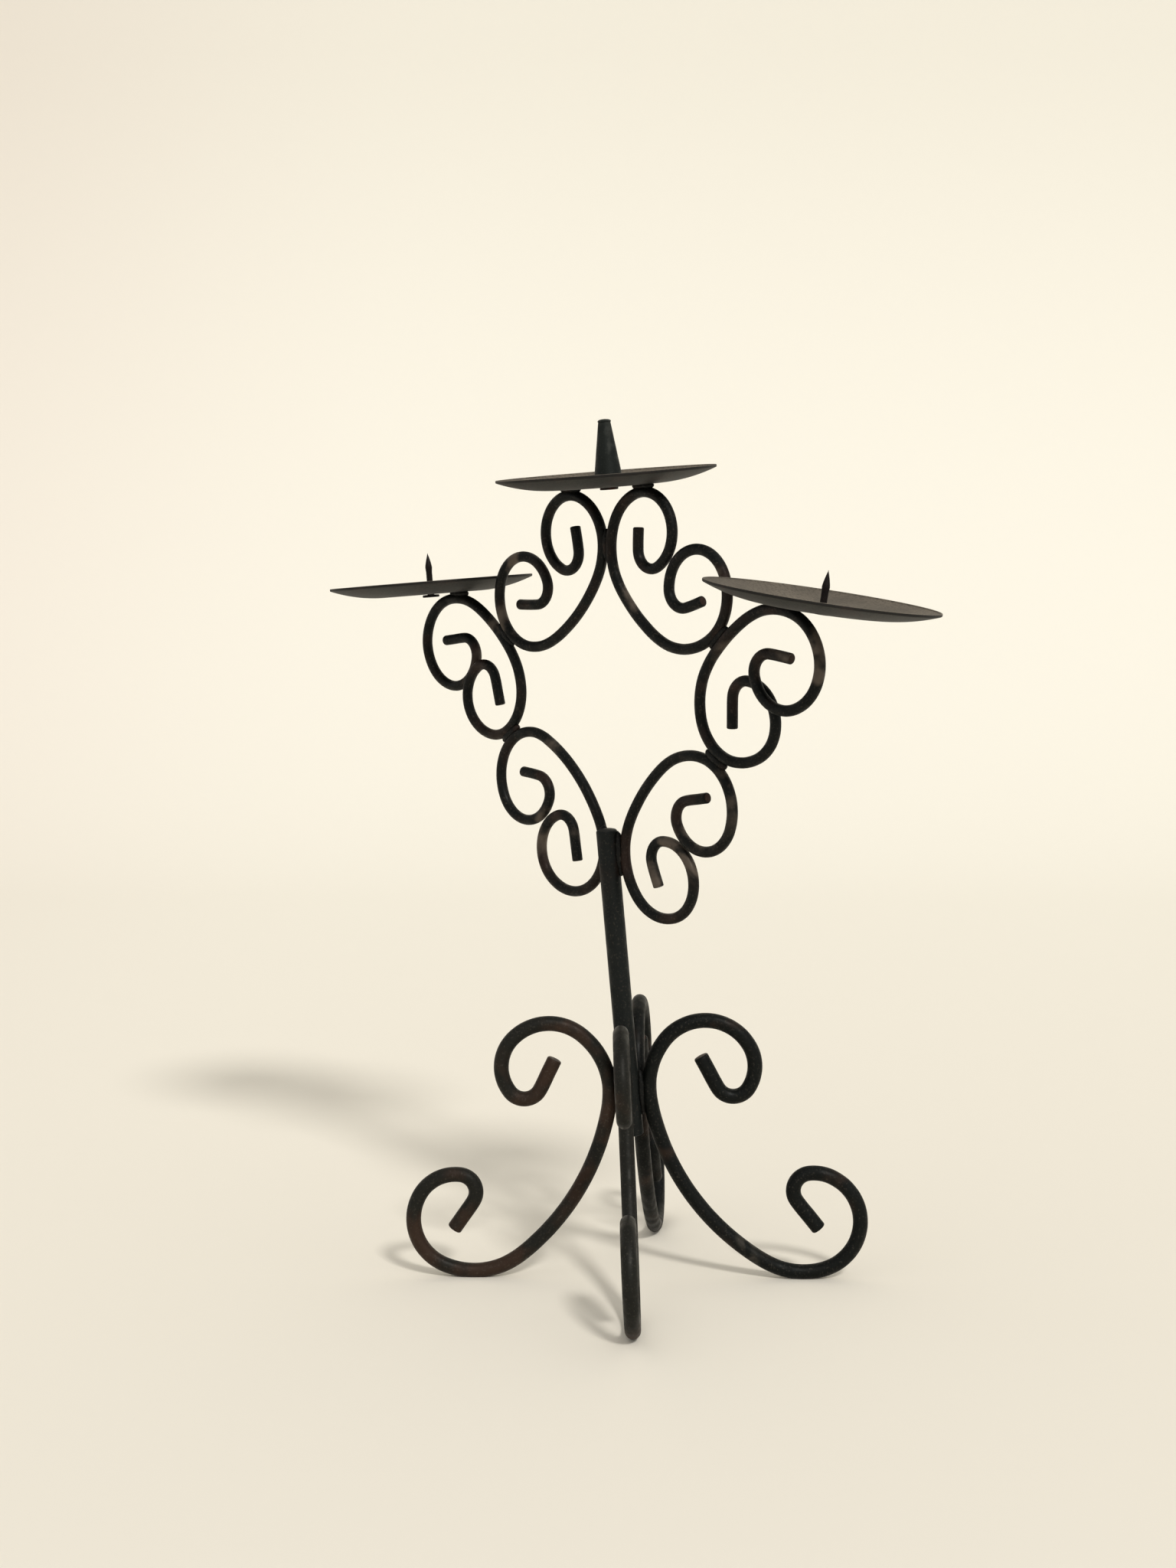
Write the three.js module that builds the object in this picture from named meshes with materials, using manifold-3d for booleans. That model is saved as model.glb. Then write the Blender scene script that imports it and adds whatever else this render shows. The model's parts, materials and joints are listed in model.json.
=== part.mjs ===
// A table candle stand of wrought iron. A leaning post stands on four C-scroll legs and carries
// an upright star of six C-scrolls, and the star carries three drip pans with a spike in each.
// Millimetres, +Z up, the left and right legs along X and the front leg towards -Y.
import * as THREE from "three";
import { mergeVertices } from "three/addons/utils/BufferGeometryUtils.js";
import Module from "manifold-3d";

const wasm = await Module();
wasm.setup();

// ----------------------------------------------------------------------------------------------
// Driving dimensions: lengths in millimetres, angles in degrees
// ----------------------------------------------------------------------------------------------

const CLEARANCE = 0.3; // between solids that touch
const WELD_ROOT = 0.8; // between two pieces that a weld joins

// Post: a round bar that leans, held by the legs at one height and by the star at another
const POST_DIAMETER = 11;
const POST_LEAN_LEFT = 5;
const POST_LEAN_FRONT = 3.5;
const POST_FOOT_HEIGHT = 78;
const POST_HEAD_LENGTH = 11.5; // above the joint with the star
const POST_HEAD_CROWN = 0.5;
const POST_EDGE = 0.8;
const CLAMP_HEIGHT = 95; // where the planes of the legs meet on the post's axis
const STAR_HEIGHT = 231; // where the star is joined to the post

// Legs: centreline radii of the mandrels, from the spine out to the hook, and the degrees bent over each
const LEG_DIAMETER = 8;
const LEG_RADII = [130, 40, 27, 22, 9.5];
const FOOT_WEAR = 0.5; // ground off the lowest point of each leg
const LEGS = {
  left: {
    azimuth: 180, tilt: 0, aside: 0, stance: 30,
    spine: 43, upper: [62, 83, 82, 116], upperHook: 18, lower: [62, 96, 67, 118], lowerHook: 18,
  },
  right: {
    azimuth: 0, tilt: 0, aside: 0, stance: 35,
    spine: 49, upper: [49, 114, 60, 119], upperHook: 19, lower: [45, 142, 30, 122], lowerHook: 19,
  },
  front: {
    azimuth: -90, tilt: 2.8, aside: -2.9, stance: 33,
    spine: 48, upper: [53, 105, 70, 118], upperHook: 18, lower: [47, 134, 41, 121], lowerHook: 19,
  },
  back: {
    azimuth: 86, tilt: -2.7, aside: -3.8, stance: 35,
    spine: 49, upper: [60, 93, 77, 117], upperHook: 18, lower: [58, 93, 66, 117], lowerHook: 18,
  },
};

// Star: six scrolls in one upright plane, three to a side, each welded to the one below it
const SCROLL_DIAMETER = 5.6;
const SCROLL_RADII = [90, 35, 26, 20, 9.5];
const STAR_TURN = 46; // the star's plane, seen from above, from the plane of the side legs
const STAR_TIP = 2; // the star's plane, from upright towards the front
const SCROLL_SEAT_ANGLE = 30; // how far behind the post's sides the two bottom scrolls sit
const CURL_SWING = [75, 112]; // between these marks a curl leaves the plane to pass its twin
const SCROLLS = {
  top_left: {
    spine: 31, upper: [28, 75, 176, 123], upperHook: 12,
    lower: [32, 108, 136, 111], lowerHook: 14,
  },
  top_right: {
    spine: 23, upper: [55, 52, 171, 120], upperHook: 11,
    lower: [68, 77, 157, 107], lowerHook: 12,
  },
  mid_left: {
    spine: 24, upper: [40, 109, 138, 109], upperHook: 16,
    lower: [31, 70, 178, 104], lowerHook: 15,
  },
  mid_right: {
    spine: 22, upper: [48.5, 90.5, 147, 111], upperHook: 14,
    lower: [50, 102, 152, 93], lowerHook: 15,
  },
  bottom_left: {
    spine: 37, upper: [1, 141, 131, 108], upperHook: 13,
    lower: [22, 132, 125, 99], lowerHook: 16,
  },
  bottom_right: {
    spine: 26, upper: [42, 107, 134, 104], upperHook: 15,
    lower: [68, 66, 168, 107], lowerHook: 12,
  },
};

// Weld marks: where the scrolls of a side touch, along each bar from mid-spine, up positive.
// The bottom scroll's mark on the post is worked out, so that the two sides meet in the middle.
// midRoot is the gap that the weld fills between the bottom and the mid scroll.
const POST_MARK_RANGE = [-60, -20];
const SIDES = {
  left: {
    hand: -1, rise: 1.2, bottomUpper: 57, midLower: -65.6, midSpine: -8.7, topLower: -63,
    midRoot: 0.8, frontCurl: "lower",
  },
  right: {
    hand: 1, rise: -1.2, bottomUpper: 58, midLower: -69.4, midSpine: -4.8, topLower: -62.9,
    midRoot: 1.6, frontCurl: "upper",
  },
};

// Drip pans: pressed saucers with a flat floor, a sloping wall and a short upright rim
const PAN_DIAMETER = 114;
const PAN_DEPTH = 7.2;
const PAN_SHEET = 1;
const PAN_FLOOR_DIAMETER = 56;
const PAN_MIDDLE_DIAMETER = 23; // inside it the floor sinks to the middle, where the spike comes through
const PAN_MIDDLE_DIP = 0.1;
const PAN_RIM_HEIGHT = 1.3;
const PAN_WALL_BELLY = 1.4; // how far the wall bulges below a straight slope
const TOP_PAN_TIP_RANGE = [-12, 12];
const PANS = {
  top: { tipFront: 3.3, nailAside: 1.7, nailHeight: 21 },
  left: { overhang: 22.5, tipAside: -3.4, tipFront: 1, nailAside: -1.2, nailHeight: 22 },
  right: { overhang: 31, tipAside: 8, tipFront: -5.8, nailAside: 1.4, nailHeight: 18.3 },
};

// Spikes: clout nails driven up through the pans, a little off their middles
const NAIL_DIAMETER = 3.4;
const NAIL_HEAD_DIAMETER = 9.5;
const NAIL_HEAD_THICKNESS = 1.4;
const NAIL_POINT_LENGTH = 8;
const NAIL_SHOULDER = 0.25; // how far the root of the point stands out from the shank

// Sleeve: a tapered pricket over the top pan's nail
const SLEEVE_FOOT_DIAMETER = 15.4;
const SLEEVE_TOP_DIAMETER = 6.4;
const SLEEVE_HEIGHT = 33;
const SLEEVE_CAP_DIAMETER = 6.9;
const SLEEVE_CAP_HEIGHT = 1.6;
const SLEEVE_CAP_CROWN = 0.3;

// Weld beads: half length, half thickness across the joint and half depth out of the bars' plane
const SCROLL_BEAD = [8, 2.4, 2.4];
const PAN_BEAD = [7.5, 2.2, 2.4];
const POST_BEAD = [12, 3, 3];

// Faceting
const BAR_SIDES = 8;
const POST_SIDES = 20;
const PAN_SIDES = 40;
const NAIL_SIDES = 12;
const BEAD_SIDES = 12;
const TURN_PER_STEP = 18;
const LENGTH_PER_STEP = 14;
const WALL_STEPS = 6;

const TANGENT_STEP = 0.01; // along a bar, to either side of a mark
const GRINDING_BLOCK = 1000; // the block under the floor that the feet are cut level with
const MERGE_DISTANCE = 1e-4;

// ----------------------------------------------------------------------------------------------
// Geometry tools
// ----------------------------------------------------------------------------------------------

const UP = new THREE.Vector3(0, 0, 1);
const rad = THREE.MathUtils.degToRad;
const lerp = THREE.MathUtils.lerp;

// The root of a rising or falling function between two limits, by halving.
function solve(f, low, high) {
  const sign = Math.sign(f(low));
  for (let i = 0; i < 50; i += 1) {
    const middle = (low + high) / 2;
    if (Math.sign(f(middle)) === sign) low = middle;
    else high = middle;
  }
  return (low + high) / 2;
}

function solidOf(geometry, matrix) {
  const moved = geometry.clone().applyMatrix4(matrix);
  moved.deleteAttribute("normal");
  moved.deleteAttribute("uv");
  const shell = mergeVertices(moved, MERGE_DISTANCE);
  const vertProperties = shell.attributes.position.array;
  const triVerts = new Uint32Array(shell.index.array);
  return new wasm.Manifold(new wasm.Mesh({ numProp: 3, vertProperties, triVerts }));
}

function geometryOf(solid) {
  const mesh = solid.getMesh();
  const geometry = new THREE.BufferGeometry();
  geometry.setAttribute("position", new THREE.BufferAttribute(mesh.vertProperties, 3));
  geometry.setIndex(new THREE.BufferAttribute(mesh.triVerts, 1));
  geometry.computeVertexNormals();
  return geometry;
}

// A closed profile of [radius, height] pairs turned about +Z.
function turned(profile, sides) {
  const points = profile.map(([radius, height]) => new THREE.Vector2(radius, height));
  return new THREE.LatheGeometry(points, sides).rotateX(Math.PI / 2);
}

// A bar bent in the XZ plane: arcs over a set of mandrels from mid-spine out to a straight hook
// at each end. Marks count along it from mid-spine, up positive. The spine faces -X and the loops
// lie to +X, or the other way round for hand -1. Past CURL_SWING the curls leave the plane by
// swing, the upper one towards +Y.
class BentBar extends THREE.Curve {
  constructor(diameter, radii, bends, hand = 1) {
    super();
    this.diameter = diameter;
    this.hand = hand;
    this.swing = 0;
    const half = (turns, hook) => [
      { radius: radii[0], turn: rad(bends.spine / 2) },
      ...turns.map((turn, i) => ({ radius: radii[i + 1], turn: rad(turn) })),
      { radius: Infinity, turn: 0, straight: hook },
    ];
    this.upper = half(bends.upper, bends.upperHook);
    this.lower = half(bends.lower, bends.lowerHook);
    const below = this.stops(this.lower).reverse();
    this.marks = [...below.map((mark) => -mark), 0, ...this.stops(this.upper)];
  }

  // Marks along one half that bound the straight facets of the bar.
  stops(half) {
    const stops = [];
    let mark = 0;
    for (const { radius, turn, straight } of half) {
      const length = straight ?? radius * turn;
      const byTurn = Math.ceil(turn / rad(TURN_PER_STEP));
      const count = Math.max(1, byTurn, Math.ceil(length / LENGTH_PER_STEP));
      for (let i = 1; i <= count; i += 1) stops.push(mark + (length * i) / count);
      mark += length;
    }
    return stops;
  }

  // The mark at which the upper half has turned through an angle.
  markAtTurn(angle) {
    let mark = 0;
    let left = angle;
    for (const { radius, turn } of this.upper) {
      if (left <= turn) return mark + radius * left;
      mark += radius * turn;
      left -= turn;
    }
    return mark;
  }

  // Centreline point, direction of rising marks and outward normal, all in the bar's plane.
  at(mark) {
    const side = mark < 0 ? -1 : 1;
    let left = Math.abs(mark);
    let angle = 0;
    const point = new THREE.Vector3();
    for (const { radius, turn, straight } of mark < 0 ? this.lower : this.upper) {
      const length = straight ?? radius * turn;
      const run = straight === undefined ? Math.min(left, length) : left;
      if (straight === undefined) {
        const next = angle + run / radius;
        point.x += radius * (Math.cos(angle) - Math.cos(next));
        point.z += radius * (Math.sin(next) - Math.sin(angle));
        angle = next;
      } else {
        point.x += run * Math.sin(angle);
        point.z += run * Math.cos(angle);
      }
      left -= run;
      if (left <= 0) break;
    }
    point.set(point.x * this.hand, 0, point.z * side);
    const normal = new THREE.Vector3(-Math.cos(angle) * this.hand, 0, Math.sin(angle) * side);
    const along = new THREE.Vector3(Math.sin(angle) * this.hand * side, 0, Math.cos(angle));
    return { point, normal, along };
  }

  // The point with its swing out of the plane.
  pointAtMark(mark) {
    const [start, end] = CURL_SWING;
    const { point } = this.at(mark);
    point.y = Math.sign(mark) * this.swing * THREE.MathUtils.smoothstep(Math.abs(mark), start, end);
    return point;
  }

  getPointAt(u, target = new THREE.Vector3()) {
    const place = u * (this.marks.length - 1);
    const i = Math.min(Math.floor(place), this.marks.length - 2);
    return target.copy(this.pointAtMark(lerp(this.marks[i], this.marks[i + 1], place - i)));
  }

  getTangentAt(u, target = new THREE.Vector3()) {
    const last = this.marks.length - 1;
    const place = Math.round(u * last);
    const before = this.pointAtMark(this.marks[place] - (place > 0 ? TANGENT_STEP : 0));
    const after = this.pointAtMark(this.marks[place] + (place < last ? TANGENT_STEP : 0));
    return target.subVectors(after, before).normalize();
  }

  // Swings the curls of this bar apart, so that they pass each other with the clearance.
  partCurls(frontCurl) {
    const [start] = CURL_SWING;
    const curl = (side) => this.marks.filter((mark) => mark * side > start);
    const upper = curl(1).map((mark) => this.at(mark).point);
    const lower = curl(-1).map((mark) => this.at(mark).point);
    const distances = upper.flatMap((a) => lower.map((b) => distanceToRun(b, a, upper)));
    const nearest = Math.min(...distances);
    const apart = this.diameter + CLEARANCE;
    const swing = Math.sqrt(Math.max(0, apart ** 2 - nearest ** 2)) / 2;
    this.swing = frontCurl === "upper" ? -swing : swing;
  }

  // The bar's solid, fatter by grow all round and longer by grow at both ends.
  geometry(grow = 0) {
    const section = new THREE.Shape();
    const radius = this.diameter / 2 + grow;
    for (let i = 0; i < BAR_SIDES; i += 1) {
      const angle = ((i + 0.5) / BAR_SIDES) * 2 * Math.PI;
      if (i === 0) section.moveTo(radius * Math.cos(angle), radius * Math.sin(angle));
      else section.lineTo(radius * Math.cos(angle), radius * Math.sin(angle));
    }
    section.closePath();
    return new THREE.ExtrudeGeometry(section, { steps: this.marks.length - 1, extrudePath: this });
  }
}

// The distance from a point to the straight run that starts at one point of a row.
function distanceToRun(point, start, row) {
  const run = new THREE.Line3(start, row[row.indexOf(start) + 1] ?? start);
  return run.closestPointToPoint(point, true, new THREE.Vector3()).distanceTo(point);
}

// ----------------------------------------------------------------------------------------------
// Scene
// ----------------------------------------------------------------------------------------------

const stand = new THREE.Group();
const IRON = { color: 0x23251f, roughness: 0.62, metalness: 0.55 };
const LEG_IRON = { color: 0x2d2823, roughness: 0.66, metalness: 0.5 };
const PAN_IRON = { color: 0x56534a, roughness: 0.58, metalness: 0.45 };
const NAIL_IRON = { color: 0x2b211d, roughness: 0.6, metalness: 0.5 };
const WELD_IRON = { color: 0x1c1e1c, roughness: 0.7, metalness: 0.4 };

function addMesh(parent, name, geometry, finish) {
  const mesh = new THREE.Mesh(geometry, new THREE.MeshStandardMaterial(finish));
  mesh.name = name;
  parent.add(mesh);
  return mesh;
}

// A bead of weld: an ellipsoid along a seam, cut back from the pieces that it joins.
function addBead(name, parent, place, along, across, [length, width, depth], neighbours) {
  const bead = new THREE.Object3D();
  parent.add(bead);
  const side = new THREE.Vector3().crossVectors(along, across).normalize();
  bead.quaternion.setFromRotationMatrix(new THREE.Matrix4().makeBasis(along, across, side));
  bead.position.copy(place);
  stand.updateMatrixWorld(true);
  const toBead = bead.matrixWorld.clone().invert();
  const ellipsoid = new THREE.SphereGeometry(1, BEAD_SIDES, BEAD_SIDES).scale(length, width, depth);
  let solid = solidOf(ellipsoid, new THREE.Matrix4());
  for (const { mesh, grown } of neighbours) {
    solid = solid.subtract(solidOf(grown, toBead.clone().multiply(mesh.matrixWorld)));
  }
  parent.remove(bead);
  const mesh = addMesh(parent, name, geometryOf(solid), WELD_IRON);
  mesh.position.copy(bead.position);
  mesh.quaternion.copy(bead.quaternion);
}

// A bead down the side of the post, towards a point on the centreline of a bar.
function addPostBead(name, parent, seat, bar) {
  parent.updateWorldMatrix(true, false);
  const toParent = parent.matrixWorld.clone().invert();
  const along = postDirection.clone().transformDirection(toParent);
  const reach = new THREE.Vector3(0, 0, CLAMP_HEIGHT).applyMatrix4(toParent).sub(seat).negate();
  reach.addScaledVector(along, -reach.dot(along));
  const across = reach.clone().normalize();
  const place = seat.clone().sub(reach).addScaledVector(across, (POST_DIAMETER + WELD_ROOT) / 2);
  addBead(name, parent, place, along, across, POST_BEAD, [postSeat, bar]);
}

// ---- Post ----

const postDirection = new THREE.Vector3(
  -Math.tan(rad(POST_LEAN_LEFT)),
  -Math.tan(rad(POST_LEAN_FRONT)),
  1,
).normalize();

// The length along the post from the clamp to a height above the floor, and the axis point there.
function postLength(height) {
  return (height - CLAMP_HEIGHT) / postDirection.z;
}

function postPoint(height) {
  return new THREE.Vector3(0, 0, CLAMP_HEIGHT).addScaledVector(postDirection, postLength(height));
}

function postProfile(grow) {
  const radius = POST_DIAMETER / 2 + grow;
  const foot = postLength(POST_FOOT_HEIGHT) - grow;
  const head = postLength(STAR_HEIGHT) + POST_HEAD_LENGTH + grow;
  return [
    [0, foot],
    [radius, foot],
    [radius, head - POST_EDGE],
    [radius - POST_EDGE, head],
    [0, head + POST_HEAD_CROWN],
  ];
}

const post = addMesh(stand, "post", turned(postProfile(0), POST_SIDES), IRON);
post.position.set(0, 0, CLAMP_HEIGHT);
post.quaternion.setFromUnitVectors(UP, postDirection);
const postSeat = { mesh: post, grown: turned(postProfile(CLEARANCE), POST_SIDES) };

// ---- Legs ----

// A leg stands in its own plane, with +X outwards from the post's axis at the clamp. Its foot is
// on the floor, and its spine touches the post where the two run side by side, on the post's
// centre line or aside from it.
function addLeg(name, leg) {
  const plane = new THREE.Group();
  plane.position.set(0, 0, CLAMP_HEIGHT);
  plane.rotation.set(rad(leg.tilt), 0, rad(leg.azimuth), "ZYX");
  stand.add(plane);

  const bar = new BentBar(LEG_DIAMETER, LEG_RADII, leg);
  const mesh = addMesh(plane, `leg_${name}`, bar.geometry(), LEG_IRON);
  mesh.rotation.y = -rad(leg.stance);
  mesh.updateMatrix();

  const direction = postDirection.clone().applyQuaternion(plane.quaternion.clone().invert());
  const lean = Math.atan2(direction.x, direction.z);
  const seat = bar.at(bar.markAtTurn(rad(leg.stance) + lean)).point.applyMatrix4(mesh.matrix);
  const lowest = Math.min(...bar.marks.map((mark) => bar.at(mark).point.applyMatrix4(mesh.matrix).z));
  const floor = -CLAMP_HEIGHT / Math.cos(rad(leg.tilt));
  const reach = Math.sqrt(((POST_DIAMETER + LEG_DIAMETER) / 2 + WELD_ROOT) ** 2 - leg.aside ** 2);
  mesh.position.y = leg.aside;
  mesh.position.z = floor + LEG_DIAMETER / 2 - FOOT_WEAR - lowest;
  seat.z += mesh.position.z;
  mesh.position.x = seat.z * Math.tan(lean) + reach / Math.cos(lean) - seat.x;
  seat.x += mesh.position.x;
  seat.y = leg.aside;
  addPostBead(`weld_leg_${name}`, plane, seat, { mesh, grown: bar.geometry(CLEARANCE) });
  grindFoot(mesh);
}

// Cuts a leg off level with the floor, which leaves a small worn flat under its lowest point.
function grindFoot(mesh) {
  stand.updateMatrixWorld(true);
  const block = new THREE.BoxGeometry(GRINDING_BLOCK, GRINDING_BLOCK, GRINDING_BLOCK);
  block.translate(0, 0, -GRINDING_BLOCK / 2);
  const toMesh = mesh.matrixWorld.clone().invert();
  const leg = solidOf(mesh.geometry, new THREE.Matrix4());
  mesh.geometry = geometryOf(leg.subtract(solidOf(block, toMesh)));
}

for (const [name, leg] of Object.entries(LEGS)) addLeg(name, leg);

// ---- Star ----

// The star's own frame: X across it, Y through it to the back and Z up it, from the joint with the post.
const star = new THREE.Group();
star.rotation.set(rad(STAR_TIP), 0, -rad(STAR_TURN), "ZYX");
const seatRadius = (POST_DIAMETER + SCROLL_DIAMETER) / 2 + WELD_ROOT;
const setBack = seatRadius * Math.sin(rad(SCROLL_SEAT_ANGLE));
const seatReach = seatRadius * Math.cos(rad(SCROLL_SEAT_ANGLE));
star.position.copy(postPoint(STAR_HEIGHT)).add(new THREE.Vector3(0, setBack, 0).applyEuler(star.rotation));
stand.add(star);
const postInStar = postDirection.clone().applyQuaternion(star.quaternion.clone().invert());

// Turns and moves a bar in the star's plane until its mark lies against a seat: a point and the
// way out of it.
function lay(bar, mark, point, outward, spacing) {
  const { point: own, normal } = bar.at(mark);
  const angle = Math.atan2(-outward.z, -outward.x) - Math.atan2(normal.z, normal.x);
  const matrix = new THREE.Matrix4().makeRotationY(-angle);
  const place = own.applyMatrix4(matrix).negate().add(point).addScaledVector(outward, spacing);
  return { bar, angle, place, matrix: matrix.setPosition(place) };
}

function seatOn(laid, mark) {
  const { point, normal } = laid.bar.at(mark);
  return { point: point.applyMatrix4(laid.matrix), outward: normal.transformDirection(laid.matrix) };
}

const pitch = SCROLL_DIAMETER + WELD_ROOT;

function laySide(side, bars, postMark) {
  const lean = new THREE.Vector3(postInStar.x, 0, postInStar.z).normalize();
  const outward = new THREE.Vector3(lean.z, 0, -lean.x).multiplyScalar(side.hand);
  const onPost = lean.clone().multiplyScalar(side.rise / lean.z);
  const bottom = lay(bars.bottom, postMark, onPost, outward, seatReach);
  const underMid = seatOn(bottom, side.bottomUpper);
  const midSpacing = SCROLL_DIAMETER + side.midRoot;
  const mid = lay(bars.mid, side.midLower, underMid.point, underMid.outward, midSpacing);
  const underTop = seatOn(mid, side.midSpine);
  const top = lay(bars.top, side.topLower, underTop.point, underTop.outward, pitch);
  bottom.postMark = postMark;
  return { bottom, mid, top };
}

// How far a laid bar stays clear of the star's centre line, and where it comes nearest.
function innermost(laid, hand) {
  const marks = laid.bar.marks.filter((mark) => mark > 0);
  const points = marks.map((mark) => laid.bar.at(mark).point.applyMatrix4(laid.matrix));
  return points.reduce((a, b) => (b.x * hand < a.x * hand ? b : a));
}

function addSide(name, side) {
  const bars = {};
  for (const level of ["bottom", "mid", "top"]) {
    bars[level] = new BentBar(SCROLL_DIAMETER, SCROLL_RADII, SCROLLS[`${level}_${name}`], side.hand);
    bars[level].partCurls(side.frontCurl);
  }
  const room = (mark) => innermost(laySide(side, bars, mark).top, side.hand).x * side.hand;
  const postMark = solve((mark) => room(mark) - pitch / 2, ...POST_MARK_RANGE);
  const laid = laySide(side, bars, postMark);
  for (const [level, { bar, angle, place }] of Object.entries(laid)) {
    const mesh = addMesh(star, `scroll_${level}_${name}`, bar.geometry(), IRON);
    mesh.rotation.y = -angle;
    mesh.position.copy(place);
    laid[level].seat = { mesh, grown: bar.geometry(CLEARANCE) };
  }
  return laid;
}

const left = addSide("left", SIDES.left);
const right = addSide("right", SIDES.right);

// Beads of the star
function beadBetween(name, lower, mark, upper, root) {
  const { point, outward } = seatOn(lower, mark);
  const place = point.addScaledVector(outward, (SCROLL_DIAMETER + root) / 2);
  const along = new THREE.Vector3(-outward.z, 0, outward.x);
  addBead(name, star, place, along, outward, SCROLL_BEAD, [lower.seat, upper.seat]);
}

for (const [name, { bottom, mid, top }] of Object.entries({ left, right })) {
  const { bottomUpper, midSpine, midRoot } = SIDES[name];
  beadBetween(`weld_bottom_mid_${name}`, bottom, bottomUpper, mid, midRoot);
  beadBetween(`weld_mid_top_${name}`, mid, midSpine, top, WELD_ROOT);
  const seat = seatOn(bottom, bottom.postMark).point;
  addPostBead(`weld_post_${name}`, star, seat, bottom.seat);
}

const meeting = innermost(left.top, SIDES.left.hand);
meeting.lerp(innermost(right.top, SIDES.right.hand), 0.5);
addBead("weld_top_pair", star, meeting, UP.clone(), new THREE.Vector3(-1, 0, 0), SCROLL_BEAD, [
  left.top.seat,
  right.top.seat,
]);

// ---- Drip pans, spikes and sleeve ----

// The wall's outside, from the floor's edge out to the rim, below the plane of the rim. A curve
// of three points bulges half as far as its middle point does.
function panWall() {
  const floor = new THREE.Vector2(PAN_FLOOR_DIAMETER / 2, -PAN_DEPTH);
  const rim = new THREE.Vector2(PAN_DIAMETER / 2, -PAN_RIM_HEIGHT);
  const belly = floor.clone().lerp(rim, 0.5);
  belly.y -= 2 * PAN_WALL_BELLY;
  return new THREE.QuadraticBezierCurve(floor, belly, rim).getPoints(WALL_STEPS);
}

// The inside follows the outside one sheet higher, and a little further in for the slope.
function panProfile() {
  const outside = panWall().map(({ x, y }) => [x, y]);
  const inside = outside.map(([radius, height]) => [radius - PAN_SHEET / 4, height + PAN_SHEET]);
  inside[inside.length - 1] = [PAN_DIAMETER / 2 - PAN_SHEET, -PAN_RIM_HEIGHT + PAN_SHEET / 2];
  return [
    [0, -PAN_DEPTH],
    ...outside,
    [PAN_DIAMETER / 2, 0],
    [PAN_DIAMETER / 2 - PAN_SHEET, 0],
    ...inside.reverse(),
    [PAN_MIDDLE_DIAMETER / 2, -PAN_DEPTH + PAN_SHEET],
    [0, -PAN_DEPTH + PAN_SHEET - PAN_MIDDLE_DIP],
  ];
}

function panDish(nailAside) {
  const hole = new THREE.CylinderGeometry(1, 1, 4 * PAN_SHEET, NAIL_SIDES).rotateX(Math.PI / 2);
  const radius = NAIL_DIAMETER / 2 + CLEARANCE;
  const place = new THREE.Matrix4().makeScale(radius, radius, 1).setPosition(nailAside, 0, -PAN_DEPTH);
  const dish = solidOf(turned(panProfile(), PAN_SIDES), new THREE.Matrix4());
  return geometryOf(dish.subtract(solidOf(hole, place)));
}

// A solid plug of the pan's outside, let down by the clearance, that trims the beads under the pan.
function panPlug() {
  const outside = panWall().map(({ x, y }) => [x, y - CLEARANCE]);
  return turned([[0, -PAN_DEPTH - CLEARANCE], ...outside, [PAN_DIAMETER / 2, 0], [0, 0]], PAN_SIDES);
}

function nailProfile(height) {
  const shank = NAIL_DIAMETER / 2;
  const headTop = -PAN_DEPTH - CLEARANCE;
  const tip = -PAN_DEPTH + PAN_SHEET + height;
  return [
    [0, headTop - NAIL_HEAD_THICKNESS],
    [NAIL_HEAD_DIAMETER / 2, headTop - NAIL_HEAD_THICKNESS],
    [NAIL_HEAD_DIAMETER / 2, headTop],
    [shank, headTop],
    [shank, tip - NAIL_POINT_LENGTH - shank],
    [shank + NAIL_SHOULDER, tip - NAIL_POINT_LENGTH],
    [0, tip],
  ];
}

function sleeveProfile() {
  const foot = -PAN_DEPTH + PAN_SHEET + CLEARANCE;
  const top = foot + SLEEVE_HEIGHT - SLEEVE_CAP_HEIGHT;
  const bore = NAIL_DIAMETER / 2 + NAIL_SHOULDER + CLEARANCE;
  return [
    [0, foot + PANS.top.nailHeight],
    [bore, foot + PANS.top.nailHeight],
    [bore, foot],
    [SLEEVE_FOOT_DIAMETER / 2, foot],
    [SLEEVE_TOP_DIAMETER / 2, top],
    [SLEEVE_CAP_DIAMETER / 2, top],
    [SLEEVE_CAP_DIAMETER / 2 - SLEEVE_CAP_HEIGHT / 2, top + SLEEVE_CAP_HEIGHT - SLEEVE_CAP_CROWN],
    [0, top + SLEEVE_CAP_HEIGHT],
  ];
}

// The room between a pan's underside and a bar where they are closest, and the bar's mark there.
// It is negative where the bar's centreline is inside the pan.
function roomUnder(matrix, laid) {
  const wall = panWall().map(({ x, y }) => new THREE.Vector3(x, 0, y));
  const underside = [new THREE.Vector3(0, 0, -PAN_DEPTH), ...wall];
  const toPan = matrix.clone().invert().multiply(laid.matrix);
  let best = { room: Infinity, mark: 0 };
  for (const mark of laid.bar.marks.filter((value) => value > 0)) {
    const own = laid.bar.pointAtMark(mark).applyMatrix4(toPan);
    const flat = new THREE.Vector3(Math.hypot(own.x, own.y), 0, own.z);
    const distances = underside.map((start) => distanceToRun(flat, start, underside));
    const distance = Math.min(...distances);
    const inside = flat.z > undersideHeight(underside, flat.x);
    const room = (inside ? -distance : distance) - SCROLL_DIAMETER / 2;
    if (room < best.room) best = { room, mark };
  }
  return best;
}

// The height of a pan's underside at a radius, or of the rim's plane beyond the rim.
function undersideHeight(underside, radius) {
  const i = underside.findIndex((point) => point.x >= radius);
  if (i < 1) return 0;
  const [from, to] = [underside[i - 1], underside[i]];
  return THREE.MathUtils.mapLinear(radius, from.x, to.x, from.z, to.z);
}

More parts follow.
